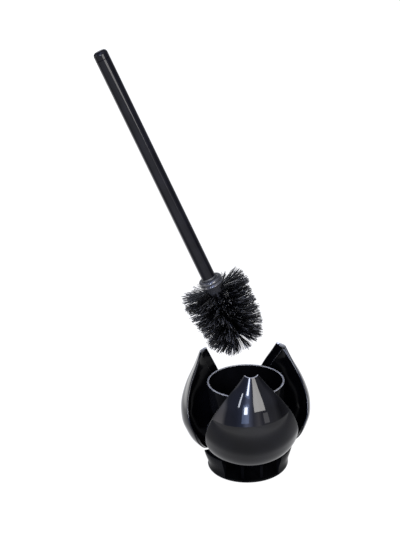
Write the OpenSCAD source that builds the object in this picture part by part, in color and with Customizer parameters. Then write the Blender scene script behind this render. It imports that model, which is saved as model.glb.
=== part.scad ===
// Toilet brush holder shaped like an opening bud. A cup stands on a sprung lift inside a
// round base, and the three petals are hinged to that base. The weight of the
// brush sinks the cup, the cup presses the toe of each petal down, and the petals close
// round the handle. Here the cup is up, the petals are open and the brush is lifted clear.
// The origin is the centre of the face that the holder stands on, and one petal faces -Y.

/* [Base] */
// Radius of the base wall
base_r = 47; // [46.5:0.25:47.5]
// Thickness of the base floor
floor_t = 2; // [1.5:0.25:3]
// Half angle of each window in the base wall, degrees
window_half = 41; // [40:0.5:43]
// Height of the posts between the windows
post_h = 43; // [42.5:0.25:44]
// Radius of the flared lip on the posts
lip_r = 52; // [51:0.25:52.25]

/* [Cup] */
// Outer radius at the rim of the cup
cup_rim_r = 44; // [43:0.25:44.25]
// Height of the rim when the cup is up
cup_rim_z = 107.3; // [104:0.1:108]
// Outer radius of the lower part, which slides in the guide ring
cup_low_r = 36; // [35:0.25:36.25]
// Wall thickness of the cup
cup_t = 2; // [1.5:0.25:2.5]
// Distance that the cup sinks when the brush stands in it
cup_travel = 14.6; // [14.5:0.1:15]

/* [Petals] */
// Opening angle of each petal, degrees
petal_open = 24.6; // [24:0.1:25]
// Thickness of the outer shell
shell_t = 2; // [1.5:0.25:2]
// Thickness of the inner liner
liner_t = 1.2; // [0.8:0.2:1.2]
// Distance from the petal's side edge to the liner's edge
liner_inset = 9; // [6:0.5:11]
// Radius of the hole that the closed tips leave for the handle
tip_hole_r = 8.3; // [8:0.1:8.6]

/* [Hinges] */
// Distance from the centre to each hinge pin
hinge_r = 42; // [41.5:0.25:42.5]
// Height of the hinge pins
hinge_z = 27; // [26.5:0.25:27.5]
// Radius of the hinge pins
pin_r = 1.5; // [1:0.1:1.6]

/* [Brush] */
// Radius of the handle
handle_r = 7.8; // [7:0.1:7.9]
// Length of the whole brush
brush_len = 368; // [330:1:400]
// Largest radius of the bristles
bristle_r = 39.5; // [34:0.5:40]
// Lean of the lifted brush, degrees
brush_lean = 22.3; // [15:0.1:25]
// Height of the lifted brush's lower end
brush_lift = 144.7; // [142:0.1:160]

/* [Hidden] */
$fn = 96;
azimuths = [-90, 30, 150];
post_azimuths = [-30, 90, 210];
names = ["front", "right", "left"];

gloss_black = [0.03, 0.03, 0.035];
matt_black = [0.07, 0.07, 0.075];
steel = [0.7, 0.7, 0.72];
rubber_black = [0.12, 0.12, 0.12];
bristle_black = [0.02, 0.02, 0.02];

pad_t = 1.4;
pad_r = 41.5;
pad_proud = 0.5;
floor_z = pad_proud + floor_t;
wall_t = 3;
lip_top = 28.3;
sill = 0.4;
barrel_r = 3.2;
lug_in = 9;
lug_t = 3.5;
toe_r = 1.8;
toe_gap = 0.3;
toe_len = cup_travel / sin(petal_open);
toe_half_w = 4;
press_z = hinge_z + toe_r + toe_gap;
press_r = 9.8;
cone_top_z = 41.35;
cone_rise = 0.8;
shoulder = [[cup_low_r, 64.6], [38.8, 69], [42.2, 75], [43.1, 82]];
ring_in = cup_low_r + 0.4;
ring_t = 4;
boss_at = 41;
boss_r = 3.2;
screw_r = 1.4;

// Closest that the hinge pins and the barrels on them come
pin_clear = 0.05;
// Spigot that centres the spring on the floor
spigot_r = 2.6;
spigot_h = 9;
// How far joined pieces run into each other
sunk = 1;

// Brush, with heights measured from its lower end
core_r = 4;
core_low = 5;
flange_z = 90;
flange_r = 13;
flange_t = 1.6;
neck_low = flange_z - 20;
neck_flare = 4.5;
socket_z = flange_z + 6;
thread_r = 3;
thread_len = 16;
socket_flange_t = 2;
plug_len = 24;
tube_z = socket_z + socket_flange_t;
tube_t = 1.2;
cap_len = 9;
cap_plug_len = 12;
cap_round = 4;

// Half of the closed bud's outline, from the tip down: [radius, height]
bud = [[9.4, 132], [21.6, 120], [38.4, 105], [52.1, 88], [59.2, 71], [60.4, 58], [57.6, 40], [46.1, 20]];
petal_wide_z = 58;
petal_low_z = 20;
petal_half_w = bud[5][0] * sin(60);
side_gap = 0.35;
bud_block_h = 150;

// Catmull-Rom curve through a list of points, with the given steps in each span
function at(p, i) = p[max(0, min(len(p) - 1, i))];
function blend(a, b, c, d, t) =
    0.5 * (2 * b + (c - a) * t + (2 * a - 5 * b + 4 * c - d) * t * t + (3 * b - a - 3 * c + d) * t * t * t);
function curve(p, steps) = concat(
    [for (i = [0:len(p) - 2]) for (k = [0:steps - 1])
        blend(at(p, i - 1), at(p, i), at(p, i + 1), at(p, i + 2), k / steps)],
    [at(p, len(p) - 1)]);
// Points moved inwards from a curve by a distance, square to it
function inward(p, d) = [for (i = [0:len(p) - 1])
    let (v = at(p, i + 1) - at(p, i - 1))
    at(p, i) + d * [v[1], -v[0]] / norm(v)];
function reversed(p) = [for (i = [len(p) - 1:-1:0]) p[i]];

bud_curve = curve(bud, 4);

// Skin of the closed bud between two depths below its outline
module bud_skin(from_d, to_d) {
    rotate_extrude() polygon(concat(inward(bud_curve, from_d), reversed(inward(bud_curve, to_d))));
}

// What lies inside the closed bud's outline, deeper than d
module bud_inside(d) {
    rotate_extrude() polygon(concat([[0, bud[0][1]]], inward(bud_curve, d), [[0, petal_low_z]]));
}

// Third of the circle about +X, with its sides drawn in by a distance
module third(inset, high) {
    far = 2 * bud[5][0];
    apex = inset / sin(60);
    linear_extrude(high) polygon([[apex, 0],
        [apex + far * cos(60), far * sin(60)], [apex + far, 0], [apex + far * cos(60), -far * sin(60)]]);
}

// Block with the petal's front outline: straight above, half an ellipse below
module outline_block(half_w, low_z) {
    drop = petal_wide_z - low_z;
    top = bud_block_h;
    rotate([90, 0, 90]) linear_extrude(bud_block_h) polygon(concat(
        [for (a = [180:7.5:360]) [half_w * cos(a), petal_wide_z + drop * sin(a)]],
        [[half_w, top], [-half_w, top]]));
}

// Moves a piece drawn at +X in the closed place to its petal in the open place
module opened(azimuth) {
    rotate([0, 0, azimuth]) translate([hinge_r, 0, hinge_z]) rotate([0, petal_open, 0])
        translate([-hinge_r, 0, -hinge_z]) children();
}

module petal(azimuth) {
    color(gloss_black) opened(azimuth) difference() {
        intersection() {
            bud_skin(0, shell_t);
            third(side_gap, bud_block_h);
            outline_block(petal_half_w, petal_low_z);
        }
        cylinder(r = tip_hole_r, h = bud_block_h);
    }
}

module petal_liner(azimuth) {
    pivot = [hinge_r, 0, hinge_z];
    liner_low_z = petal_low_z + 8;
    barrel_half = lug_in - toe_gap;
    web_reach = 20;
    web_h = 2 * barrel_r + 4;
    color(matt_black) opened(azimuth) difference() {
        union() {
            intersection() {
                bud_skin(shell_t, shell_t + liner_t);
                third(side_gap + liner_inset, bud_block_h);
                outline_block(petal_half_w - liner_inset, liner_low_z);
            }
            intersection() {
                bud_inside(shell_t);
                translate([hinge_r, -barrel_half, hinge_z - barrel_r])
                    cube([web_reach, 2 * barrel_half, web_h]);
            }
            translate(pivot) rotate([90, 0, 0])
                cylinder(r = barrel_r, h = 2 * barrel_half, center = true);
            translate(pivot) rotate([0, -petal_open, 0]) {
                translate([-toe_len, -toe_half_w, -toe_r]) cube([toe_len, 2 * toe_half_w, 2 * toe_r]);
                translate([-toe_len, 0, 0]) rotate([90, 0, 0])
                    cylinder(r = toe_r, h = 2 * toe_half_w, center = true);
            }
        }
        translate(pivot) rotate([90, 0, 0]) cylinder(r = pin_r + pin_clear, h = 3 * lug_in, center = true);
        cylinder(r = tip_hole_r, h = bud_block_h);
    }
}

module hinge_pin(azimuth) {
    end_proud = 0.5;
    color(steel) rotate([0, 0, azimuth]) translate([hinge_r, 0, hinge_z]) rotate([90, 0, 0])
        cylinder(r = pin_r, h = 2 * (lug_in + lug_t + end_proud), center = true);
}

// Floor and wall of the base with its flared lip, all the way round
module base_bowl() {
    flare = [[base_r, 9], [base_r + 0.9, 13], [lip_r - 2.3, 18.5], [lip_r - 0.9, 23], [lip_r, lip_top - 0.9]];
    lip_end = [[lip_r - 0.5, lip_top], [lip_r - 1.1, lip_top], [lip_r - 3.6, lip_top - 4.3], [base_r, 22]];
    inner_r = base_r - wall_t;
    round_r = 4;
    rotate_extrude() polygon(concat(
        [[0, pad_t], [pad_r, pad_t], [pad_r, pad_proud]],
        [for (a = [-90:15:0]) [base_r - round_r + round_r * cos(a), pad_proud + round_r + round_r * sin(a)]],
        curve(flare, 4),
        lip_end,
        [[base_r, post_h], [inner_r, post_h], [inner_r, floor_z], [0, floor_z]]));
}

// Pair of lugs that hold one hinge pin
module hinge_lugs() {
    stem_x = 36.9;
    stem_w = 2.5;
    for (side = [-1, 1]) translate([0, side * (lug_in + lug_t / 2) + lug_t / 2, 0])
        rotate([90, 0, 0]) linear_extrude(lug_t) difference() {
            union() {
                translate([stem_x, floor_z - sunk]) square([stem_w, hinge_z - floor_z + sunk]);
                translate([stem_x, hinge_z - barrel_r]) square([hinge_r - stem_x, 2 * barrel_r]);
                translate([hinge_r, hinge_z]) circle(barrel_r);
            }
            translate([hinge_r, hinge_z]) circle(pin_r);
        }
}

// Wedge that cuts one window through the wall above the sill
module window() {
    near = 30;
    far = 80;
    side = [cos(window_half), sin(window_half)];
    other = [side[0], -side[1]];
    translate([0, 0, floor_z + sill]) linear_extrude(post_h)
        polygon([near * side, near * other, far * other, far * side]);
}

module base_shell() {
    screw_hole_deep = 12;
    color(gloss_black) difference() {
        union() {
            difference() {
                base_bowl();
                for (a = azimuths) rotate([0, 0, a]) window();
            }
            for (a = azimuths) rotate([0, 0, a]) hinge_lugs();
            for (a = post_azimuths) rotate([0, 0, a]) translate([boss_at, 0, floor_z - sunk])
                cylinder(r = boss_r, h = post_h - floor_z + sunk);
            translate([0, 0, floor_z - sunk]) cylinder(r = spigot_r, h = spigot_h);
        }
        for (a = post_azimuths) rotate([0, 0, a]) translate([boss_at, 0, post_h - screw_hole_deep])
            cylinder(r = screw_r, h = screw_hole_deep + 1);
    }
}

module non_slip_pad() {
    color(rubber_black) cylinder(r = pad_r, h = pad_t);
}

// Ring on the posts that keeps the cup upright
module guide_ring() {
    color(matt_black) difference() {
        translate([0, 0, post_h]) cylinder(r = base_r - 0.5, h = ring_t);
        translate([0, 0, post_h - 1]) cylinder(r = ring_in, h = ring_t + 2);
        for (a = post_azimuths) rotate([0, 0, a]) translate([boss_at, 0, post_h - 1])
            cylinder(r = screw_r, h = ring_t + 2);
    }
}

module ring_screws() {
    head_r = 2.8;
    head_h = 1.8;
    bite = 10;
    slot = [3.2, 0.6, 0.8];
    color(steel) for (a = post_azimuths) rotate([0, 0, a]) translate([boss_at, 0, post_h + ring_t])
        difference() {
            union() {
                cylinder(r = head_r, h = head_h);
                translate([0, 0, -bite - ring_t]) cylinder(r = screw_r, h = bite + ring_t);
            }
            for (turn = [0, 90]) rotate([0, 0, turn]) translate([0, 0, head_h])
                cube([slot[0], slot[1], 2 * slot[2]], center = true);
        }
}

// Outline of the cup from the centre of its floor to its rim, moved inwards by d:
// a flat that presses the toes, a shallow cone, a straight wall and a shoulder below the rim
function cup_outline(d) = concat(
    [[0, press_z + d], [press_r, press_z + d], [cup_low_r - d, cone_top_z + cone_rise * d]],
    curve([for (p = shoulder) p - [d, 0]], 4),
    [[cup_rim_r - d, cup_rim_z]]);

module cup() {
    color(gloss_black) rotate_extrude()
        polygon(concat(cup_outline(0), reversed(cup_outline(cup_t))));
}

// Coil spring under the centre of the cup
module lift_spring() {
    coil_r = 3.7;
    wire_r = 0.45;
    turns = 8;
    steps = 16 * turns;
    sides = 8;
    low = floor_z + wire_r;
    high = press_z - wire_r;
    points = [for (i = [0:steps]) for (k = [0:sides - 1])
        let (a = 360 * turns * i / steps, b = 360 * k / sides, r = coil_r + wire_r * cos(b))
        [r * cos(a), r * sin(a), low + (high - low) * i / steps + wire_r * sin(b)]];
    walls = [for (i = [0:steps - 1]) for (k = [0:sides - 1])
        let (n = (k + 1) % sides, p = i * sides)
        each [[p + k, p + n, p + sides + n], [p + k, p + sides + n, p + sides + k]]];
    ends = [[for (k = [sides - 1:-1:0]) k], [for (k = [0:sides - 1]) steps * sides + k]];
    color(steel) polyhedron(points, concat(walls, ends));
}

// Places a piece drawn upright from the brush's lower end
module lifted_brush() {
    translate([-0.95, 0, brush_lift]) rotate([0, -brush_lean, 0]) children();
}

module brush_core() {
    color(matt_black) lifted_brush() rotate_extrude() polygon([
        [0, core_low], [core_r - 1, core_low], [core_r, core_low + 1], [core_r, neck_low],
        [core_r + neck_flare, flange_z - 5], [flange_r - 0.8, flange_z - 0.5], [flange_r, flange_z],
        [flange_r, flange_z + flange_t], [flange_r - 1.2, flange_z + 2 * flange_t],
        [handle_r + 1.6, socket_z], [thread_r, socket_z], [thread_r, socket_z + thread_len],
        [0, socket_z + thread_len]]);
}

// Rows of tufts, each a thin disc round the core
module bristles() {
    rows = 12;
    disc_t = 1.6;
    foot = [24, 7];
    bend = [31, 17];
    top = [bristle_r, 83];
    hub_gap = 0.5;
    color(bristle_black) lifted_brush() for (i = [0:rows - 1]) {
        z = foot[1] + (top[1] - foot[1]) * i / (rows - 1);
        r = lookup(z, [[foot[1], foot[0]], [bend[1], bend[0]], [top[1], top[0]]]);
        hub = core_r + max(0, (z - neck_low) * neck_flare / (flange_z - 5 - neck_low));
        translate([0, 0, z]) difference() {
            cylinder(r = r, h = disc_t, center = true);
            cylinder(r = hub + hub_gap, h = 2 * disc_t, center = true);
        }
    }
}

module handle_socket() {
    color(matt_black) lifted_brush() difference() {
        union() {
            translate([0, 0, socket_z]) cylinder(r = handle_r + 0.8, h = socket_flange_t);
            translate([0, 0, socket_z]) cylinder(r = handle_r - tube_t, h = plug_len);
        }
        translate([0, 0, socket_z - 1]) cylinder(r = thread_r, h = thread_len + 2);
    }
}

module handle_tube() {
    color(gloss_black) lifted_brush() translate([0, 0, tube_z]) difference() {
        cylinder(r = handle_r, h = brush_len - tube_z - cap_len);
        translate([0, 0, -1]) cylinder(r = handle_r - tube_t, h = brush_len);
    }
}

module handle_cap() {
    low = brush_len - cap_len;
    plug_low = low - cap_plug_len;
    plug_r = handle_r - tube_t;
    color(gloss_black) lifted_brush() rotate_extrude() polygon(concat(
        [[0, plug_low], [plug_r, plug_low], [plug_r, low], [handle_r, low]],
        [for (a = [0:15:90]) [handle_r - cap_round, brush_len - cap_round] + cap_round * [cos(a), sin(a)]],
        [[0, brush_len]]));
}

base_shell();
non_slip_pad();
guide_ring();
ring_screws();
cup();
lift_spring();
for (i = [0:2]) {
    petal(azimuths[i]);
    petal_liner(azimuths[i]);
    hinge_pin(azimuths[i]);
}
brush_core();
bristles();
handle_socket();
handle_tube();
handle_cap();
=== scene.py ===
"""Looks of the toilet brush holder: a bud of three petals round a sprung cup, with the brush lifted clear."""

import math
import random

import bmesh
import bpy
from mathutils import Matrix, Vector


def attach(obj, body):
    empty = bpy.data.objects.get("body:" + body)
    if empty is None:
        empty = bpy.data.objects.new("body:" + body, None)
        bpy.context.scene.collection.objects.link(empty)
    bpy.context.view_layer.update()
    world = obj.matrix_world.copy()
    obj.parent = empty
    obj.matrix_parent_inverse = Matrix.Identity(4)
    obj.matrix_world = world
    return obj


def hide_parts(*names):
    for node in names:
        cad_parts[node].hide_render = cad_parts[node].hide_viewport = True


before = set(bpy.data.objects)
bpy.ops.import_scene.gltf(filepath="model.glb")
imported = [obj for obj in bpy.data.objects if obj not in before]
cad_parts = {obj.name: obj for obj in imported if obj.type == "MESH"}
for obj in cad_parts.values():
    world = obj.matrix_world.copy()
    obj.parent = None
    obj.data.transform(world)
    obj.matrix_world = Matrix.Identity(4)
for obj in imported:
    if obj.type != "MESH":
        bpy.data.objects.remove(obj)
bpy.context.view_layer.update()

MM = 0.001
PETALS = {"front": -90, "right": 30, "left": 150}

# ---------------------------------------------------------------- sizes, in millimetres
# They are the CAD model's, but for three that follow the photo or a pose more closely. LIP_TOP is
# 28.3 there, and lower here to clear the petals when they close. FLANGE_R is 13 there, and
# BRUSH_LEAN 22.3. EDGE_ROUND is of the looks alone.
BASE_R = 47
LIP_R = 52
LIP_TOP = 27.7
FLOOR_Z = 2.5
FLOOR_LOW = 0.5
PAD_TOP = 1.4
PAD_R = 41.5
SILL_Z = 2.9
POST_TOP = 43
BASE_WALL = 3
WINDOW_HALF = 41
POST_AZIMUTHS = (-30, 90, 210)
POST_PLACE_R = 41
HINGE_R = 42
HINGE_Z = 27
PIN_R = 1.5
BARREL_R = 3.2
LUG_IN = 9
LUG_T = 3.5
OPEN_DEG = 24.6
TRAVEL = 14.6
TOE_LEN = TRAVEL / math.sin(math.radians(OPEN_DEG))
TOE_R = 1.8
SHELL_T = 2.0
LINER_T = 1.2
LINER_INSET = 9
SIDE_GAP = 0.35
TIP_HOLE_R = 8.3
EDGE_ROUND = 0.9
WIDE_R = 60.4
WIDE_Z = 58
LOW_Z = 20
HALF_W = WIDE_R * math.sin(math.radians(60))
BUD = [(9.4, 132), (21.6, 120), (38.4, 105), (52.1, 88), (59.2, 71), (WIDE_R, WIDE_Z), (57.6, 40),
       (46.1, LOW_Z)]
CUP_RIM_R = 44
CUP_RIM_Z = 107.3
CUP_LOW_R = 36
CUP_T = 2
PRESS_Z = 29.1
PRESS_R = 9.8
BRUSH_LEN = 368
HANDLE_R = 7.8
HANDLE_BORE_R = HANDLE_R - 1.2
FLANGE_Z = 90
FLANGE_R = 14
CAP_LEN = 9
BRUSH_LEAN = 22.27
BRUSH_FOOT = (-0.95, 0, 144.7)


# ---------------------------------------------------------------- outlines
def blend4(a, b, c, d, t):
    """Catmull-Rom point between b and c."""
    return 0.5 * (2 * b + (c - a) * t + (2 * a - 5 * b + 4 * c - d) * t * t
                  + (3 * b - a - 3 * c + d) * t ** 3)


def curve(points, steps):
    """Smooth curve through the points, with a number of steps between each two."""
    p = [Vector(q) for q in points]
    last = len(p) - 1
    out = []
    for i in range(last):
        a, b, c, d = (p[max(0, min(last, i + k))] for k in (-1, 0, 1, 2))
        out += [blend4(a, b, c, d, k / steps) for k in range(steps)]
    return out + [p[last]]


def inward(points, d):
    """The outline moved towards the axis by d."""
    out = []
    for i, q in enumerate(points):
        v = points[min(i + 1, len(points) - 1)] - points[max(i - 1, 0)]
        out.append(q + Vector((v.y, -v.x)) * (d / v.length))
    return out


def arc(cx, cz, r, a0, a1, n):
    """Points of an arc from angle a0 to a1, in degrees, with n steps."""
    return [(cx + r * math.cos(math.radians(a0 + (a1 - a0) * i / n)),
             cz + r * math.sin(math.radians(a0 + (a1 - a0) * i / n))) for i in range(n + 1)]


# ---------------------------------------------------------------- mesh helpers
def to_object(name, verts, faces, sharp_deg=35, merge=1e-3, others=()):
    """Object from vertices in millimetres, with doubles merged and faces turned outwards.

    The lists of face numbers in others take the object's second, third and further materials."""
    mesh = bpy.data.meshes.new(name)
    mesh.from_pydata([tuple(Vector(v) * MM) for v in verts], [], faces)
    for k, group in enumerate(others):
        for i in group:
            mesh.polygons[i].material_index = k + 1
    bm = bmesh.new()
    bm.from_mesh(mesh)
    if merge:
        bmesh.ops.remove_doubles(bm, verts=bm.verts, dist=merge * MM)
        bmesh.ops.dissolve_degenerate(bm, dist=1e-4 * MM, edges=bm.edges)
    bmesh.ops.delete(bm, geom=[v for v in bm.verts if not v.link_faces], context="VERTS")
    bmesh.ops.recalc_face_normals(bm, faces=bm.faces)
    bm.to_mesh(mesh)
    bm.free()
    obj = bpy.data.objects.new(name, mesh)
    bpy.context.scene.collection.objects.link(obj)
    smooth(obj, sharp_deg)
    return obj


def smooth(obj, sharp_deg):
    mesh = obj.data
    mesh.polygons.foreach_set("use_smooth", [True] * len(mesh.polygons))
    bm = bmesh.new()
    bm.from_mesh(mesh)
    limit = math.radians(sharp_deg)
    for e in bm.edges:
        e.smooth = len(e.link_faces) == 2 and e.calc_face_angle(0) < limit
    bm.to_mesh(mesh)
    bm.free()


def bevel(obj, width, segments=3, angle=40):
    mod = obj.modifiers.new("edge", "BEVEL")
    mod.width = width * MM
    mod.segments = segments
    mod.limit_method = "ANGLE"
    mod.angle_limit = math.radians(angle)
    mod.harden_normals = True
    return obj


def spun(outline, segments, x=0, y=0):
    """Verts and faces of an outline of (radius, height) turned about the upright axis at (x, y)."""
    verts, faces = [], []
    n = len(outline)
    for k in range(segments):
        a = 2 * math.pi * k / segments
        verts += [(x + r * math.cos(a), y + r * math.sin(a), z) for r, z in outline]
    for k in range(segments):
        m = (k + 1) % segments
        faces += [(k * n + i, m * n + i, m * n + i + 1, k * n + i + 1) for i in range(n - 1)]
    return verts, faces


def lathe(name, outline, segments, band=None):
    """Solid of revolution about Z from an outline of (radius, height).

    The spans of the outline in band take the second material, and those after it the third."""
    verts, faces = spun(outline, segments)
    banded, beyond = [], []
    for face in range(len(faces) if band else 0):
        span = face % (len(outline) - 1)
        if span >= band[0]:
            (banded if span < band[1] else beyond).append(face)
    return to_object(name, verts, faces, others=(banded, beyond))


def place(obj, matrix):
    obj.data.transform(matrix)
    return obj


def turned_z(degrees):
    return Matrix.Rotation(math.radians(degrees), 4, "Z")


def opened(azimuth):
    """From a petal drawn closed at +X to its open place."""
    pivot = Vector((HINGE_R * MM, 0, HINGE_Z * MM))
    return (turned_z(azimuth) @ Matrix.Translation(pivot)
            @ Matrix.Rotation(math.radians(OPEN_DEG), 4, "Y") @ Matrix.Translation(-pivot))


def lifted():
    """From a brush drawn upright on its lower end to its lifted place."""
    return Matrix.Translation(Vector(BRUSH_FOOT) * MM) @ Matrix.Rotation(math.radians(-BRUSH_LEAN), 4, "Y")


# ---------------------------------------------------------------- materials
def new_material(name):
    m = bpy.data.materials.new(name)
    m.use_nodes = True
    nodes = m.node_tree.nodes
    return m, nodes, m.node_tree.links, nodes["Principled BSDF"]


def noise(nodes, links, scale, detail, rough=0.5, stretch=None):
    tex = nodes.new("ShaderNodeTexNoise")
    tex.inputs["Scale"].default_value = scale
    tex.inputs["Detail"].default_value = detail
    tex.inputs["Roughness"].default_value = rough
    coord = nodes.new("ShaderNodeTexCoord")
    if stretch:
        mapping = nodes.new("ShaderNodeMapping")
        mapping.inputs["Scale"].default_value = stretch
        links.new(coord.outputs["Object"], mapping.inputs["Vector"])
        links.new(mapping.outputs["Vector"], tex.inputs["Vector"])
    else:
        links.new(coord.outputs["Object"], tex.inputs["Vector"])
    return tex.outputs["Fac"]


def ramp(nodes, links, source, stops):
    node = nodes.new("ShaderNodeValToRGB")
    elements = node.color_ramp.elements
    while len(elements) < len(stops):
        elements.new(0.5)
    for e, (pos, value) in zip(elements, stops):
        e.position = pos
        e.color = (*value, 1) if hasattr(value, "__len__") else (value, value, value, 1)
    links.new(source, node.inputs["Fac"])
    return node.outputs["Color"]


def bump(nodes, links, source, strength, distance, before=None):
    node = nodes.new("ShaderNodeBump")
    node.inputs["Strength"].default_value = strength
    node.inputs["Distance"].default_value = distance
    links.new(source, node.inputs["Height"])
    if before:
        links.new(before, node.inputs["Normal"])
    return node.outputs["Normal"]


def varied(nodes, links, target, stops, *pattern):
    """Drives a shader input by noise, through a ramp with the given stops."""
    links.new(ramp(nodes, links, noise(nodes, links, *pattern), stops), target)


def maths(nodes, links, operation, a, b):
    node = nodes.new("ShaderNodeMath")
    node.operation = operation
    for socket, value in zip(node.inputs, (a, b)):
        if isinstance(value, (int, float)):
            socket.default_value = value
        else:
            links.new(value, socket)
    return node.outputs[0]


def remap(nodes, links, source, limits, shape="LINEAR"):
    """Maps the first two limits onto the last two, which are 0 and 1 if they are left out."""
    node = nodes.new("ShaderNodeMapRange")
    node.interpolation_type = shape
    for key, value in zip(("From Min", "From Max", "To Min", "To Max"), limits):
        node.inputs[key].default_value = value
    links.new(source, node.inputs["Value"])
    return node.outputs["Result"]


def gloss_plastic(name, dark, light, rough_low, rough_high, ior, wave=0.03, streak=None):
    """Moulded gloss plastic: faint colour drift, handling haze, fine scratches and moulded waviness.

    The refractive index is set low, so that the pale floor stays dark in it and only lights show."""
    m, nodes, links, shader = new_material(name)
    varied(nodes, links, shader.inputs["Base Color"], [(0.35, dark), (0.7, light)], 35, 4)
    varied(nodes, links, shader.inputs["Roughness"], [(0.4, rough_low), (0.75, rough_high)],
           60, 6, 0.65, streak)
    shader.inputs["IOR"].default_value = ior
    moulded = bump(nodes, links, noise(nodes, links, 22, 2), wave, 0.002)
    scratches = noise(nodes, links, 900, 2, 0.5, (1, 0.06, 0.3))
    links.new(bump(nodes, links, scratches, 0.02, 0.0002, moulded), shader.inputs["Normal"])
    return m


def matt_plastic(name, dark, light, rough=0.42):
    m, nodes, links, shader = new_material(name)
    varied(nodes, links, shader.inputs["Base Color"], [(0.3, dark), (0.75, light)], 90, 5)
    varied(nodes, links, shader.inputs["Roughness"], [(0.3, rough - 0.08), (0.8, rough + 0.12)], 240, 4)
    links.new(bump(nodes, links, noise(nodes, links, 1400, 3), 0.18, 0.0002), shader.inputs["Normal"])
    return m


def drawn_steel(name):
    m, nodes, links, shader = new_material(name)
    shader.inputs["Metallic"].default_value = 1
    varied(nodes, links, shader.inputs["Base Color"],
           [(0.3, (0.42, 0.42, 0.43)), (0.8, (0.68, 0.68, 0.7))], 300, 5)
    varied(nodes, links, shader.inputs["Roughness"], [(0.3, 0.18), (0.8, 0.38)], 700, 4)
    drawn = noise(nodes, links, 2500, 2, 0.5, (1, 1, 0.05))
    links.new(bump(nodes, links, drawn, 0.15, 0.0001), shader.inputs["Normal"])
    return m


def soft_rubber(name):
    m, nodes, links, shader = new_material(name)
    varied(nodes, links, shader.inputs["Base Color"], [(0.3, 0.018), (0.8, 0.045)], 120, 5)
    shader.inputs["Roughness"].default_value = 0.8
    links.new(bump(nodes, links, noise(nodes, links, 900, 4), 0.35, 0.0003), shader.inputs["Normal"])
    return m


def nylon(name):
    """Bristle filaments: dark, with a little sheen and uneven among themselves. Their colour darkens from the
    tips towards the roots, which is painted shade within the head.
    """
    m, nodes, links, shader = new_material(name)
    tone_and_root_shade_node = nodes.new("ShaderNodeAttribute")
    tone_and_root_shade_node.attribute_name = "along"
    tone = maths(nodes, links, "MULTIPLY", noise(nodes, links, 130, 4, 0.7), tone_and_root_shade_node.outputs["Fac"])
    # Near black at the roots to dark grey at the tips: painted shade towards the roots, on top of the random
    # tone.
    stops = [(0.15, (0.0003, 0.0003, 0.0004)), (0.32, (0.003, 0.003, 0.0035)), (0.52, (0.04, 0.04, 0.042))]
    links.new(ramp(nodes, links, tone, stops), shader.inputs["Base Color"])
    varied(nodes, links, shader.inputs["Roughness"], [(0.3, 0.18), (0.8, 0.34)], 500, 2)
    shader.inputs["IOR"].default_value = 1.3
    links.new(bump(nodes, links, noise(nodes, links, 3000, 2), 0.1, 0.0001), shader.inputs["Normal"])
    return m


SHELL = gloss_plastic("gloss_shell", (0.0004, 0.0004, 0.0006), (0.0012, 0.0012, 0.0018), 0.03, 0.09, 1.22,
                      wave=0.14)
BASE = gloss_plastic("base_gloss", (0.002, 0.002, 0.002), (0.0045, 0.0044, 0.0044), 0.14, 0.24, 1.055)
# Light grey matt for the cup's rim band and the petals' tip notches: a painted highlight along these rims.
PAINTED_RIM_HIGHLIGHT = matt_plastic("rim_painted_highlight", 0.06, 0.12, 0.3)
# Grey matt for the linings' side edges and tip notches: a painted highlight along these edges.
PAINTED_EDGE_HIGHLIGHT = matt_plastic("edge_painted_highlight", 0.018, 0.042, 0.3)
CUP = gloss_plastic("cup_gloss", (0.0005, 0.0005, 0.0006), (0.0014, 0.0014, 0.0017), 0.06, 0.14, 1.075)
# Copy of the shell's gloss that reflects far less, for the petals' inner faces, linings and hinge arms:
# painted shade inside the bud.
PAINTED_SHADE_INNER = gloss_plastic("inner_gloss_painted_shade", (0.0004, 0.0004, 0.0006), (0.001, 0.001, 0.0014), 0.1, 0.2, 1.075)
HANDLE = gloss_plastic("handle_gloss", (0.0006, 0.0006, 0.001), (0.002, 0.002, 0.003), 0.06, 0.14, 1.16,
                       streak=(1, 1, 0.08))
# Darker copy of the cup's gloss that reflects still less, for the cup's inner wall: painted shade within the
# cup.
PAINTED_SHADE_CUP_INSIDE = gloss_plastic("cup_inside_painted_shade", (0.0004, 0.0004, 0.0005), (0.0009, 0.0009, 0.0011), 0.1, 0.2,
                           1.045)
# Copy of the base's gloss that reflects almost nothing, for the base's inner faces, lugs, bosses and spigot:
# painted shade in the recesses under the petals.
PAINTED_SHADE_BASE_INSIDE = gloss_plastic("base_inside_painted_shade", (0.0004, 0.0004, 0.0005), (0.0012, 0.0012, 0.0014), 0.35, 0.5, 1.03)
MATT = matt_plastic("matt_black", 0.006, 0.014)
CORE = gloss_plastic("core_gloss", (0.005, 0.005, 0.0055), (0.014, 0.014, 0.015), 0.06, 0.14, 1.36,
                     wave=0.08)
STEEL = drawn_steel("drawn_steel")
RUBBER = soft_rubber("pad_rubber")
NYLON = nylon("nylon_filament")


def finish_piece(obj, body, material, slot, *nodes, others=()):
    """Gives a piece its materials, the body it moves with and the CAD nodes that it stands for."""
    for given in (material, *(others or (material, material))):
        obj.data.materials.append(given)
    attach(obj, body)
    if nodes:
        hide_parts(*nodes)
    return obj


# ---------------------------------------------------------------- petals
def bud_outline():
    """Points down the side of the closed bud, twice as close below its widest place."""
    coarse = curve(BUD, 10)
    fine = []
    for q, following in zip(coarse, coarse[1:]):
        fine.append(q)
        if q.y < WIDE_Z:
            fine.append((q + following) / 2)
    return fine + [coarse[-1]]


def clipped(points, low_z):
    """The stretch of an outline from the tip hole's wall down to low_z, cut where it crosses them."""
    near = 0.02
    kept = [q for q in points if q.y > low_z + near and q.x > TIP_HOLE_R + near]
    below = [q for q in points if q.y <= low_z + near]
    if below:
        a, b = kept[-1], below[0]
        kept.append(a + (b - a) * ((a.y - low_z) / (a.y - b.y)))
    else:
        kept.append(points[-1])
    above = [q for q in points if q.x <= TIP_HOLE_R + near]
    if above:
        a, b = kept[0], above[-1]
        kept.insert(0, a + (b - a) * ((a.x - TIP_HOLE_R) / (a.x - b.x)))
    return kept


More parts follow.
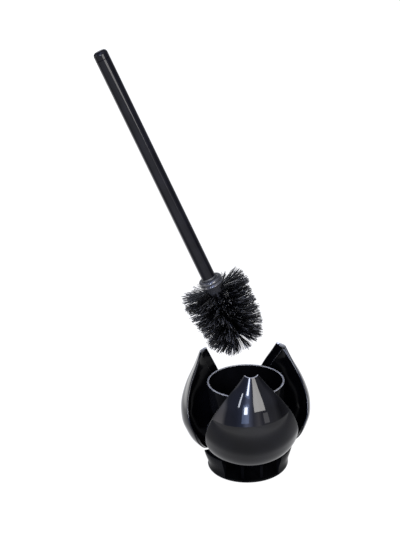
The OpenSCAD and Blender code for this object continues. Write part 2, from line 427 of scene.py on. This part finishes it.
def petal_skin(name, from_d, to_d, inset, half_w, low_z, columns=56, rounded=True):
    """Petal-shaped piece of the closed bud's skin at +X, between two depths below its outline.

    Its inner face takes the second material, and its tip notch the third. Side edges that aren't
    rounded take the third as well."""
    outline = bud_outline()
    outer, inner = clipped(inward(outline, from_d), low_z), clipped(inward(outline, to_d), low_z)
    hole_top = [Vector((TIP_HOLE_R, outer[0].y))] if outer[0].x > TIP_HOLE_R + 0.1 else []
    loop = outer + list(reversed(inner)) + hole_top
    total = len(loop)
    drop = WIDE_Z - low_z

    def half_angle(q):
        side = math.radians(60) - math.asin(min(1, inset / q.x))
        if q.y >= WIDE_Z:
            return side
        half = half_w * math.sqrt(max(0, 1 - ((WIDE_Z - q.y) / drop) ** 2))
        return max(0, min(side, math.asin(min(1, half / q.x))))

    turns = [math.radians(t) for t in (90, 60, 35, 15)] if rounded else []
    depths = [inward(outer, EDGE_ROUND * (1 - math.cos(t))) for t in turns]
    last = columns + 2 * len(turns)
    wide = last + 1
    verts = []
    for i, q in enumerate(loop):
        h = half_angle(q)
        room = min(EDGE_ROUND, 0.45 * h * q.x)
        first = room / q.x if rounded else 0
        row = [(q, (h - first) * (2 * c / columns - 1)) for c in range(columns + 1)]
        for k in reversed(range(len(turns))):
            at = q + (depths[k][i] - q) * (room / EDGE_ROUND) if i < len(outer) else q
            side = h - room * (1 - math.sin(turns[k])) / q.x
            row = [(at, -side)] + row + [(at, side)]
        verts += [(at.x * math.cos(a), at.x * math.sin(a), at.y) for at, a in row]

    faces, inside, edge = [], [], []
    hole_wall = (len(outer) + len(inner) - 1, total - 1)
    for i in range(total):
        j = (i + 1) % total
        for c in range(last):
            if i in hole_wall:
                edge.append(len(faces))
            elif i >= len(outer):
                inside.append(len(faces))
            faces.append((i * wide + c, i * wide + c + 1, j * wide + c + 1, j * wide + c))
    for c in (0, last):
        cap = side_cap(outer, inner, hole_top, total, wide, c)
        if not rounded:
            edge += range(len(faces), len(faces) + len(cap))
        faces += cap
    return to_object(name, verts, faces, others=(inside, edge))


def side_cap(outer, inner, hole_top, total, wide, c):
    """Faces across one side edge, from the bottom up, pairing points of like height."""
    faces = []
    i = len(outer) - 1
    j = len(outer)
    last_j = len(outer) + len(inner) - 1
    while i > 0 or j < last_j:
        can_i, can_j = i > 0, j < last_j
        next_i = outer[i - 1].y if can_i else 1e9
        next_j = inner[last_j - j - 1].y if can_j else 1e9
        if next_i <= next_j:
            faces.append((i * wide + c, j * wide + c, (i - 1) * wide + c))
            i -= 1
        else:
            faces.append((i * wide + c, j * wide + c, (j + 1) * wide + c))
            j += 1
    if hole_top:
        faces.append((c, last_j * wide + c, (total - 1) * wide + c))
    return faces


def prism(points, y0, y1):
    """Verts and faces of an (x, z) outline drawn out along Y."""
    n = len(points)
    verts = [(x, y0, z) for x, z in points] + [(x, y1, z) for x, z in points]
    faces = [tuple(range(n)), tuple(range(2 * n - 1, n - 1, -1))]
    faces += [(i, (i + 1) % n, n + (i + 1) % n, n + i) for i in range(n)]
    return verts, faces


def tube_y(cx, cz, r_out, r_in, y0, y1):
    """Verts and faces of a short tube along Y."""
    n = 40
    verts, faces = [], []
    for r, y in ((r_out, y0), (r_out, y1), (r_in, y1), (r_in, y0)):
        for k in range(n):
            a = 2 * math.pi * k / n
            verts.append((cx + r * math.cos(a), y, cz + r * math.sin(a)))
    for s in range(4):
        t = (s + 1) % 4
        for k in range(n):
            m = (k + 1) % n
            faces.append((s * n + k, s * n + m, t * n + m, t * n + k))
    return verts, faces


def joined(name, parts):
    """One object from several lots of verts and faces."""
    verts, faces = [], []
    for v, f in parts:
        base = len(verts)
        verts += v
        faces += [tuple(base + i for i in face) for face in f]
    return to_object(name, verts, faces)


def hinge_arm(name):
    """Barrel, web and toe of a petal's hinge, drawn with the petal closed at +X."""
    half = LUG_IN - 0.3
    toe_half, rib_half = 4, 0.7
    barrel = tube_y(HINGE_R, HINGE_Z, BARREL_R, PIN_R + 0.05, -half, half)
    web = prism([(HINGE_R + 1.9, HINGE_Z - 2.4), (HINGE_R + 5.6, HINGE_Z - 1.6),
                 (HINGE_R + 7.4, HINGE_Z + 4.5), (HINGE_R + 2.6, HINGE_Z + 2)], -half, half)
    rot = Matrix.Rotation(math.radians(-OPEN_DEG), 4, "Y")

    def from_hinge(points, y0, y1):
        """Prism drawn as in the open petal, where the toe is level, and turned to the closed one."""
        verts, faces = prism(points, y0, y1)
        return [tuple(rot @ Vector(v) + Vector((HINGE_R, 0, HINGE_Z))) for v in verts], faces

    root = -PIN_R - 0.8
    toe = from_hinge(arc(-TOE_LEN, 0, TOE_R, 90, 270, 12) + [(root, -TOE_R), (root, TOE_R)],
                     -toe_half, toe_half)
    rib = from_hinge([(-TOE_LEN + 6, -TOE_R), (-BARREL_R - 1, -TOE_R), (-BARREL_R, -TOE_R - 1.2)],
                     -rib_half, rib_half)
    return joined(name, [barrel, web, toe, rib])


for side, azimuth in PETALS.items():
    body = "petal_" + side
    shell = petal_skin(f"petal_shell_{side}", 0, SHELL_T, SIDE_GAP, HALF_W, LOW_Z)
    place(shell, opened(azimuth))
    # The shell's inner face takes the painted shade of the inner gloss, and its tip notch the painted rim
    # highlight.
    finish_piece(shell, body, SHELL, "gloss_shell", "petal_" + side, others=(PAINTED_SHADE_INNER, PAINTED_RIM_HIGHLIGHT))
    liner = petal_skin(f"petal_lining_{side}", SHELL_T - 0.02, SHELL_T + LINER_T, SIDE_GAP + LINER_INSET,
                       HALF_W - LINER_INSET, LOW_Z + 8, columns=44, rounded=False)
    bevel(place(liner, opened(azimuth)), 0.5, 3)
    # The lining takes the painted shade of the inner gloss, and its side edges and tip notch the painted edge
    # highlight.
    finish_piece(liner, body, PAINTED_SHADE_INNER, "inner_plastic", "petal_liner_" + side, others=(PAINTED_SHADE_INNER, PAINTED_EDGE_HIGHLIGHT))
    arm = bevel(place(hinge_arm(f"petal_toe_{side}"), opened(azimuth)), 0.3, 2)
    # The hinge arm takes the painted shade of the inner gloss as well.
    finish_piece(arm, body, PAINTED_SHADE_INNER, "inner_plastic")


# ---------------------------------------------------------------- cup
def cup_outline(d):
    """Half section of the cup at a depth d in its wall, from the middle of its foot to below its rim."""
    foot_round = 2.2
    foot = arc(CUP_LOW_R - foot_round, 42.6 + 0.75 * d, foot_round - 0.6 * d, -64, 0, 6)
    shoulder = curve([(CUP_LOW_R - d, 64.6), (38.8 - d, 69), (42.2 - d, 75), (43.1 - d, 82)], 6)
    return ([(0, PRESS_Z + d), (PRESS_R - 0.4, PRESS_Z + d), (PRESS_R + 0.8, PRESS_Z + 0.45 + d)]
            + [(r - 0.4 * d, z) for r, z in foot] + [(q.x, q.y) for q in shoulder])


def make_cup():
    lip_r = 0.45
    outer = cup_outline(0)
    inner = cup_outline(CUP_T)
    rim = (arc(CUP_RIM_R - lip_r, CUP_RIM_Z - lip_r, lip_r, 0, 90, 4)
           + arc(CUP_RIM_R - CUP_T + lip_r, CUP_RIM_Z - lip_r, lip_r, 90, 180, 4))
    rim_band = (len(outer), len(outer) + len(rim) - 1)
    return lathe("cup_body", outer + rim + list(reversed(inner)), 160, rim_band)


# The cup's rim band takes the painted rim highlight, and its inner wall the painted shade of the cup's
# inside.
finish_piece(make_cup(), "cup", CUP, "cup_plastic", "cup", others=(PAINTED_RIM_HIGHLIGHT, PAINTED_SHADE_CUP_INSIDE))


# ---------------------------------------------------------------- base
def base_outline():
    """Outer points below the sill, and those from the sill up, which the inner points match one to one."""
    round_r = 4
    low = [(PAD_R, PAD_TOP), (PAD_R, FLOOR_LOW)]
    fillet = arc(BASE_R - round_r, FLOOR_LOW + round_r, round_r, -90, 0, 24)
    below = [p for p in fillet if p[1] < SILL_Z - 0.05]
    sill_r = BASE_R - round_r + math.sqrt(round_r ** 2 - (FLOOR_LOW + round_r - SILL_Z) ** 2)
    above = [(sill_r, SILL_Z)] + [p for p in fillet if p[1] > SILL_Z + 0.05]
    flare = curve([(BASE_R, 9), (BASE_R + 0.9, 13), (LIP_R - 2.3, 18.5), (LIP_R - 0.9, 23),
                   (LIP_R, LIP_TOP - 0.9)], 6)
    above += [(q.x, q.y) for q in flare]
    above += [(LIP_R - 0.1, LIP_TOP - 0.3), (LIP_R - 0.5, LIP_TOP), (LIP_R - 1.1, LIP_TOP),
              (LIP_R - 1.6, LIP_TOP - 0.5), (LIP_R - 3.6, LIP_TOP - 4.3), (BASE_R, 22), (BASE_R, 32),
              (BASE_R, POST_TOP)]
    return low + below, above


def make_base_wall():
    """Floor and wall of the base, one column of faces to a degree, cut away at the three windows."""
    low, above = base_outline()
    inner_r = BASE_R - BASE_WALL
    inner = [(inner_r, z) for _, z in above]
    floor = [(inner_r, FLOOR_Z), (0.01, FLOOR_Z), (0.01, PAD_TOP)]
    loop = low + above + list(reversed(inner)) + floor
    count, n = 360, len(loop)
    first, last = len(low), len(low) + len(above) - 1
    inner_top, inner_sill = last + 1, last + len(above)

    def in_window(k):
        return any(abs((k + 0.5 - az + 180) % 360 - 180) < WINDOW_HALF for az in PETALS.values())

    verts, faces, inside = [], [], []
    for k in range(count):
        a = math.radians(k)
        verts += [(r * math.cos(a), r * math.sin(a), z) for r, z in loop]
    for k in range(count):
        m = (k + 1) % count
        gap = in_window(k)
        for i in range(n):
            j = (i + 1) % n
            if gap and first <= i < inner_sill:
                continue
            if inner_top <= i < n - 1:
                inside.append(len(faces))
            faces.append((k * n + i, m * n + i, m * n + j, k * n + j))
        if gap:
            faces.append((k * n + first, m * n + first, m * n + inner_sill, k * n + inner_sill))
        if gap != in_window((k - 1) % count):
            for t in range(len(above) - 1):
                o, p = first + t, inner_sill - t
                inside.append(len(faces))
                faces.append((k * n + o, k * n + o + 1, k * n + p - 1, k * n + p))
    return to_object("base_wall", verts, faces, others=(inside,))


def make_lug(azimuth, side):
    """Upright with the hinge pin's eye at its top, on one side of a petal's barrel."""
    y0 = side * (LUG_IN + LUG_T / 2) - LUG_T / 2
    stem_x, stem_w = 36.9, 2.5
    outline = ([(stem_x, FLOOR_Z - 0.2), (stem_x + stem_w, FLOOR_Z - 0.2),
                (stem_x + stem_w, HINGE_Z - BARREL_R)]
               + arc(HINGE_R, HINGE_Z, BARREL_R, -90, 90, 15) + [(stem_x, HINGE_Z + BARREL_R)])
    v, f = prism(outline, y0, y0 + LUG_T)
    turn = turned_z(azimuth)
    return [tuple(turn @ Vector(p)) for p in v], f


def make_lugs():
    return joined("base_lugs", [make_lug(az, s) for az in PETALS.values() for s in (-1, 1)])


def make_bosses():
    """Round post inside each stretch of wall between two windows, bored at its top for a screw."""
    outline = [(1.4, POST_TOP - 11), (1.4, POST_TOP - 0.02), (3.0, POST_TOP - 0.02), (3.2, POST_TOP - 0.3),
               (3.2, FLOOR_Z + 1), (4.2, FLOOR_Z - 0.1)]
    centres = [turned_z(az) @ Vector((POST_PLACE_R, 0, 0)) for az in POST_AZIMUTHS]
    return joined("base_bosses", [spun(outline, 32, centre.x, centre.y) for centre in centres])


base = bevel(make_base_wall(), 0.45, 3, 50)
# The inner faces of the wall, and the lugs, bosses and spigot, take the painted shade of the dull inside
# material.
finish_piece(base, "base", BASE, "gloss_shell", "base_shell", others=(PAINTED_SHADE_BASE_INSIDE,))
finish_piece(bevel(make_lugs(), 0.3, 2), "base", PAINTED_SHADE_BASE_INSIDE, "gloss_shell")
finish_piece(make_bosses(), "base", PAINTED_SHADE_BASE_INSIDE, "gloss_shell")
spigot = lathe("base_spigot", [(0, 10.5), (2.1, 10.5), (2.6, 10), (2.6, 3.2), (3.4, 2.4)], 40)
finish_piece(spigot, "base", PAINTED_SHADE_BASE_INSIDE, "gloss_shell")


# ---------------------------------------------------------------- CAD nodes that keep their shape
def dress(node, material, edge=0.0):
    """Gives a CAD node its material and, where edge says so, a small bevel."""
    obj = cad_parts[node]
    obj.data.materials.clear()
    obj.data.materials.append(material)
    if edge:
        bevel(obj, edge, 2, 50)


dress("guide_ring", MATT, 0.4)
dress("ring_screws", STEEL, 0.2)
dress("lift_spring", STEEL)
dress("non_slip_pad", RUBBER, 0.3)
for side in PETALS:
    dress("hinge_pin_" + side, STEEL, 0.2)
dress("handle_socket", MATT, 0.2)


# ---------------------------------------------------------------- brush
def make_handle():
    low, high = FLANGE_Z + 7, BRUSH_LEN - CAP_LEN
    outline = [(HANDLE_BORE_R, low), (HANDLE_R - 0.3, low), (HANDLE_R, low + 0.3), (HANDLE_R, high - 0.25),
               (HANDLE_R - 0.25, high), (HANDLE_BORE_R, high)]
    return place(lathe("handle_body", outline, 96), lifted())


def make_handle_cap():
    low, high, round_r = BRUSH_LEN - CAP_LEN, BRUSH_LEN, 4
    outline = ([(HANDLE_BORE_R, low - 10), (HANDLE_BORE_R, low + 0.12), (HANDLE_R - 0.3, low + 0.12),
                (HANDLE_R, low + 0.4)]
               + arc(HANDLE_R - round_r, high - round_r, round_r, 0, 90, 10) + [(0, high)])
    return place(lathe("handle_end", outline, 96), lifted())


def make_core():
    """Stem, neck and flange, with the rounded collar round the foot of the handle."""
    z = FLANGE_Z
    neck = curve([(4, z - 24), (4.6, z - 19), (7.5, z - 11), (FLANGE_R - 1.2, z - 1.2)], 6)
    outline = ([(0, 20)] + arc(0.2, 24, 3.8, -90, 0, 8) + [(q.x, q.y) for q in neck]
               + arc(FLANGE_R - 0.6, z - 0.6, 0.6, -60, 40, 4)
               + arc(FLANGE_R - 3.4, z + 3.4, 3.1, -38, 140, 14)
               + [(HANDLE_R + 0.5, z + 4.4), (HANDLE_R + 0.2, z + 3.4), (0, z + 3.4)])
    return place(lathe("brush_stem", outline, 96), lifted())


finish_piece(make_handle(), "brush", HANDLE, "handle_finish", "handle_tube")
finish_piece(make_handle_cap(), "brush", HANDLE, "handle_finish", "handle_cap")
finish_piece(make_core(), "brush", CORE, "matt_plastic", "brush_core")


def filament(verts, faces, along, points, r, tone):
    """Thin tapering prism along a path.

    The list along tells how far towards the tip each vertex is, times the tone; it drives the painted shade
    towards the roots."""
    sides = 4
    start = len(verts)
    count = len(points)
    for i, p in enumerate(points):
        d = (points[min(i + 1, count - 1)] - points[max(i - 1, 0)]).normalized()
        u = d.orthogonal().normalized()
        w = d.cross(u)
        radius = r * (1 - 0.35 * i / (count - 1))
        for k in range(sides):
            a = 2 * math.pi * k / sides
            verts.append(tuple(p + (u * math.cos(a) + w * math.sin(a)) * radius))
            along.append(tone * i / (count - 1))
    for i in range(count - 1):
        for k in range(sides):
            m = (k + 1) % sides
            faces.append((start + i * sides + k, start + i * sides + m,
                          start + (i + 1) * sides + m, start + (i + 1) * sides + k))
    end = start + (count - 1) * sides
    faces.append(tuple(end + k for k in range(sides)))
    faces.append(tuple(start + k for k in reversed(range(sides))))


# Height and radius down the outer form of the bristle head.
HEAD = [(82, 39.5), (70, 38), (60, 37), (45, 36), (35, 35), (25, 33), (18, 30), (12, 26), (8, 20),
        (4.5, 12), (2.5, 0)]
TUFT_LEN = 34
TUFT_R = 0.37
TOP_TUFTS_Z = 81
# Wedge-shaped gaps in the lower right of the head, seen from the front. Each is a direction in
# degrees from the stem at GAPS_Z, and half the angle that it spans. Tufts above GAPS_TOP stay.
GAPS = ((-43, 8), (-66, 9), (-89, 8))
GAPS_Z = 24
GAPS_TOP = 60


def head_radius(z):
    """Radius of the bristle head at a height above its lower end."""
    if z > HEAD[0][0]:
        return HEAD[0][1] - 7 * (z - HEAD[0][0])
    for (z1, r1), (z0, r0) in zip(HEAD, HEAD[1:]):
        if z >= z0:
            return r0 + (r1 - r0) * min(1, (z - z0) / (z1 - z0))
    return 0


def tuft_length(root, axis):
    """How far a tuft runs from its root before it meets the head's outer form."""
    length = 5
    while length < 60:
        tip = root + axis * length
        if math.hypot(tip.x, tip.y) > head_radius(tip.z) or tip.z < 2.5:
            break
        length += 0.5
    return length


def tuft_layout(rng):
    """Height, azimuth and tilt of every tuft: a little upwards at the top, turning down to the foot."""
    tufts = []
    rows, count = 18, 16
    for row in range(rows):
        t = row / (rows - 1)
        z = 73 - 49 * t
        tilt = 15 * (1 - t / 0.45) if t < 0.45 else -30 * ((t - 0.45) / 0.55) ** 1.3
        for k in range(count):
            azimuth = 360 * (k + 0.5 * (row % 2)) / count + rng.uniform(-7, 7)
            tufts.append((z, azimuth, tilt + rng.uniform(-6, 6)))
    for ring, (tilt, count) in enumerate(((-42, 12), (-55, 10), (-68, 8), (-82, 4))):
        for k in range(count):
            azimuth = 360 * (k + 0.5 * (ring % 2)) / count + rng.uniform(-6, 6)
            tufts.append((23 - ring, azimuth, tilt + rng.uniform(-4, 4)))
    for azimuth, tilt in ((178, 6), (204, 4), (-12, 12), (8, 15), (24, 11), (-34, 9), (184, 0), (-8, 7)):
        tufts.append((TOP_TUFTS_Z, azimuth, tilt))
    for k in range(12):
        tufts.append((77, 30 * k + rng.uniform(-8, 8), 6 + rng.uniform(-6, 6)))
    return tufts


def in_gap(z, az, el):
    """Whether a tuft would end in one of the gaps, seen from the front."""
    rise = math.sin(el) * TUFT_LEN + z - GAPS_Z
    seen_at = math.degrees(math.atan2(rise, math.cos(el) * math.cos(az) * TUFT_LEN))
    return z < GAPS_TOP and any(abs(seen_at - gap) < half for gap, half in GAPS)


def make_bristles():
    """Tufts of separate filaments, each bent, spread and toned at random from one seed."""
    rng = random.Random(7)
    per_tuft, steps = 10, 5
    verts, faces, tone_and_root_shade = [], [], []
    for z, azimuth, tilt in tuft_layout(rng):
        az, el = math.radians(azimuth), math.radians(tilt)
        if in_gap(z, az, el):
            continue
        out = Vector((math.cos(az), math.sin(az), 0))
        axis = out * math.cos(el) + Vector((0, 0, math.sin(el)))
        across = Vector((-math.sin(az), math.cos(az), 0))
        along = axis.cross(across)
        root = out * 2.5 + Vector((0, 0, z))
        full = (TUFT_LEN if z == TOP_TUFTS_Z else tuft_length(root, axis)) * rng.uniform(0.97, 1.02)
        bend = rng.uniform(-0.06, 0.06)
        lean = Vector((rng.uniform(-1, 1), rng.uniform(-1, 1), rng.uniform(-1, 1)))
        for _ in range(per_tuft):
            tone = rng.choice((0.2, 0.4, 0.6, 1.0))
            u, w = rng.gauss(0, 1), rng.gauss(0, 1)
            start = root + (across * u + along * w) * 0.5
            spread = (across * u + along * w) * 1.6
            own = full * rng.uniform(0.95, 1.01)
            sag = (across * rng.uniform(-1, 1) + along * rng.uniform(-1, 1)) * 0.45
            points = []
            for i in range(steps + 1):
                f = i / steps
                points.append(start + axis * (own * f) + spread * f ** 1.4 + lean * (1.2 * f * f)
                              + across * (bend * own * f * f) + sag * math.sin(math.pi * f))
            filament(verts, faces, tone_and_root_shade, points, TUFT_R, tone)
    obj = to_object("bristle_tufts", verts, faces, 50, 0)
    # The along attribute, the random tone times how far towards the tip, darkens the filaments towards their
    # roots: painted shade within the head.
    obj.data.attributes.new("along", "FLOAT", "POINT").data.foreach_set("value", tone_and_root_shade)
    return place(obj, lifted())


finish_piece(make_bristles(), "brush", NYLON, "bristle", "bristles")


# ---------------------------------------------------------------- stage, light and camera
def make_floor():
    """Floor that looks white by its own light, brighter in front and brightest behind to the left."""
    mesh = bpy.data.meshes.new("floor")
    far = 30
    mesh.from_pydata([(-far, -far, 0), (far, -far, 0), (far, far, 0), (-far, far, 0)], [], [(0, 1, 2, 3)])
    floor = bpy.data.objects.new("floor", mesh)
    bpy.context.scene.collection.objects.link(floor)
    m, nodes, links, shader = new_material("pale_floor")
    varied(nodes, links, shader.inputs["Base Color"], [(0.2, 0.05), (0.8, 0.06)], 3, 2)
    shader.inputs["Roughness"].default_value = 0.9
    shader.inputs["Specular IOR Level"].default_value = 0.1
    shader.inputs["Emission Color"].default_value = (1, 1, 1, 1)
    coord = nodes.new("ShaderNodeTexCoord")
    split = nodes.new("ShaderNodeSeparateXYZ")
    links.new(coord.outputs["Object"], split.inputs["Vector"])
    x, y = split.outputs["X"], split.outputs["Y"]

    def calc(operation, a, b):
        return maths(nodes, links, operation, a, b)

    def fade(source, *limits):
        return remap(nodes, links, source, limits, "SMOOTHSTEP")

    back = calc("MULTIPLY", calc("MAXIMUM", y, 0), 0.3)
    aside = calc("SUBTRACT", calc("ABSOLUTE", x, 0), back)
    front = calc("MULTIPLY", y, -1)
    left = calc("MULTIPLY", x, -1)
    bright_left = calc("MULTIPLY", fade(left, 0.16, 0.4, 0, 3), fade(y, 0.04, 0.2, 0, 1))
    level = calc("ADD", fade(aside, 0.28, 0.8, 0.95, 0.8), bright_left)
    bright_front = fade(front, 0.1, 0.42, 1, 3.4)
    links.new(calc("MULTIPLY", level, bright_front), shader.inputs["Emission Strength"])
    mesh.materials.append(m)


# Colours of the room by height, from level to straight up, and across the front, from left to right.
HEIGHTS = [
    (0.0, (1.0, 1.0, 1.03)), (0.25, (0.85, 0.87, 0.95)), (0.55, (1.0, 1.05, 1.2)), (1.0, (0.5, 0.52, 0.62))]
SURROUNDINGS = [
    (0.0, (9.0, 8.6, 8.6)), (0.045, (8.5, 8.2, 8.2)), (0.08, (1.5, 1.6, 2.0)), (0.22, (1.4, 1.6, 2.4)),
    (0.33, (2.6, 3.1, 5.0)), (0.4, (8.5, 9.6, 14.0)), (0.47, (6.0, 6.6, 9.4)), (0.54, (2.6, 2.7, 3.4)),
    (0.64, (5.4, 5.2, 5.4)), (0.7, (2.0, 2.0, 2.2)), (0.92, (2.2, 2.2, 2.3)), (0.97, (0.5, 0.5, 0.5))]


def make_world():
    """Studio surroundings: pale behind, and a room of bright and dim stretches in front."""
    world = bpy.data.worlds.new("studio")
    world.use_nodes = True
    nodes, links = world.node_tree.nodes, world.node_tree.links
    coord = nodes.new("ShaderNodeTexCoord")
    split = nodes.new("ShaderNodeSeparateXYZ")
    links.new(coord.outputs["Generated"], split.inputs["Vector"])
    height = ramp(nodes, links, split.outputs["Z"], HEIGHTS)
    across = ramp(nodes, links, remap(nodes, links, split.outputs["X"], (-1, 1)), SURROUNDINGS)
    front = remap(nodes, links, split.outputs["Y"], (0.25, -0.25))
    mix = nodes.new("ShaderNodeMix")
    mix.data_type = "RGBA"
    mix.blend_type = "MULTIPLY"
    links.new(front, mix.inputs["Factor"])
    links.new(height, mix.inputs["A"])
    links.new(across, mix.inputs["B"])
    links.new(mix.outputs["Result"], nodes["Background"].inputs["Color"])
    nodes["Background"].inputs["Strength"].default_value = 0.75
    bpy.context.scene.world = world


# Name, azimuth in degrees to the right of the front, then in metres the distance, height, width and
# tallness, then radiance and colour.
WINDOWS = [
    ("window_right", 21, 1.15, 0.64, 0.6, 0.48, 29, (1, 0.98, 0.96)),
    ("window_left", -14, 2.4, 0.84, 0.34, 0.42, 115, (0.85, 0.9, 1)),
    ("window_glow", -14, 2.6, 0.74, 0.75, 0.95, 12, (0.45, 0.6, 1)),
    ("window_low", 33, 2.4, 0.36, 0.5, 0.4, 5, (1, 0.98, 1)),
    ("window_high", -34, 2.4, 1.3, 0.2, 0.4, 60, (0.85, 0.9, 1))]
LIT_POINT = (0, 0, 0.1)


def panel(name, azimuth, distance, height, width, tall, radiance, tint):
    """Rectangular light that faces the object and stays out of the camera's sight."""
    data = bpy.data.lights.new(name, "AREA")
    data.shape = "RECTANGLE"
    data.size, data.size_y = width, tall
    data.energy = radiance * math.pi * width * tall
    data.color = tint
    light = bpy.data.objects.new(name, data)
    bpy.context.scene.collection.objects.link(light)
    a = math.radians(azimuth - 90)
    light.location = (distance * math.cos(a), distance * math.sin(a), height)
    direction = Vector(LIT_POINT) - light.location
    light.rotation_euler = direction.to_track_quat("-Z", "Y").to_euler()
    light.visible_camera = False


def make_lights():
    sun = bpy.data.lights.new("overhead", "SUN")
    sun.energy = 0.9
    sun.angle = math.radians(55)
    overhead = bpy.data.objects.new("overhead", sun)
    overhead.rotation_euler = (math.radians(18), math.radians(12), 0)
    bpy.context.scene.collection.objects.link(overhead)
    for window in WINDOWS:
        panel(*window)


CAMERA_PLACE = (-0.1262, -1.08092, 0.62745)
CAMERA_FORWARD = (0.06912, 0.94127, -0.33051)
CAMERA_UP = (0.06473, 0.32638, 0.94302)


def make_camera():
    """Camera that looks down on the holder from the front, a little to its left."""
    data = bpy.data.cameras.new("view")
    data.sensor_width = 36
    data.lens = 71.05
    cam = bpy.data.objects.new("view", data)
    bpy.context.scene.collection.objects.link(cam)
    forward = Vector(CAMERA_FORWARD).normalized()
    right = forward.cross(Vector(CAMERA_UP)).normalized()
    up = right.cross(forward)
    axes = Matrix((right, up, -forward)).transposed().to_4x4()
    cam.matrix_world = Matrix.Translation(CAMERA_PLACE) @ axes
    bpy.context.scene.camera = cam


make_floor()
make_world()
make_lights()
make_camera()
bpy.context.scene.view_settings.view_transform = "Standard"
